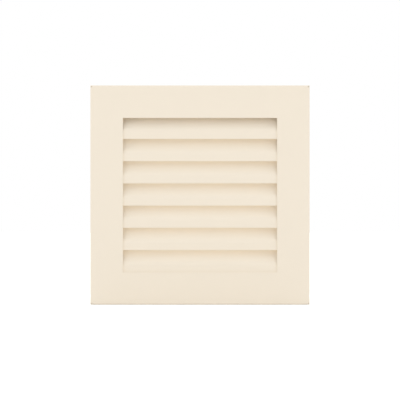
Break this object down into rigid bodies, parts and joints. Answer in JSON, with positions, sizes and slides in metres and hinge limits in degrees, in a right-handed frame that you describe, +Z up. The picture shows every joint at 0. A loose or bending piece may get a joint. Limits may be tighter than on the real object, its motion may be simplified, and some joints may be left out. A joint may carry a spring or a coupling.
{
  "type": "fireplace vent grille",
  "caption": "Square louvred grille for a fireplace air duct: flat folded sheet frame, fixed slanting louvres, and spring clips that hold it in the wall opening.",
  "frame": {"origin": "centre of the opening on the wall plane, where the frame's folded rims rest", "axes": "+X right as seen from the room, +Y into the wall, +Z up"},
  "size_m": [0.22, 0.03, 0.22],
  "materials": {
    "cream_coat": "satin powder coat on sheet steel",
    "spring_steel": "plain spring steel strip",
    "rivet_metal": "plain rivet"
  },
  "bodies": {
    "root": {"front_frame": "cream_coat", "collar": "cream_coat", "louvre_1": "cream_coat", "louvre_2": "cream_coat", "louvre_3": "cream_coat", "louvre_4": "cream_coat", "louvre_5": "cream_coat", "louvre_6": "cream_coat", "louvre_7": "cream_coat", "clip_left_upper": "spring_steel", "clip_left_lower": "spring_steel", "clip_right_upper": "spring_steel", "clip_right_lower": "spring_steel", "clip_rivets": "rivet_metal"}
  },
  "joints": []
}
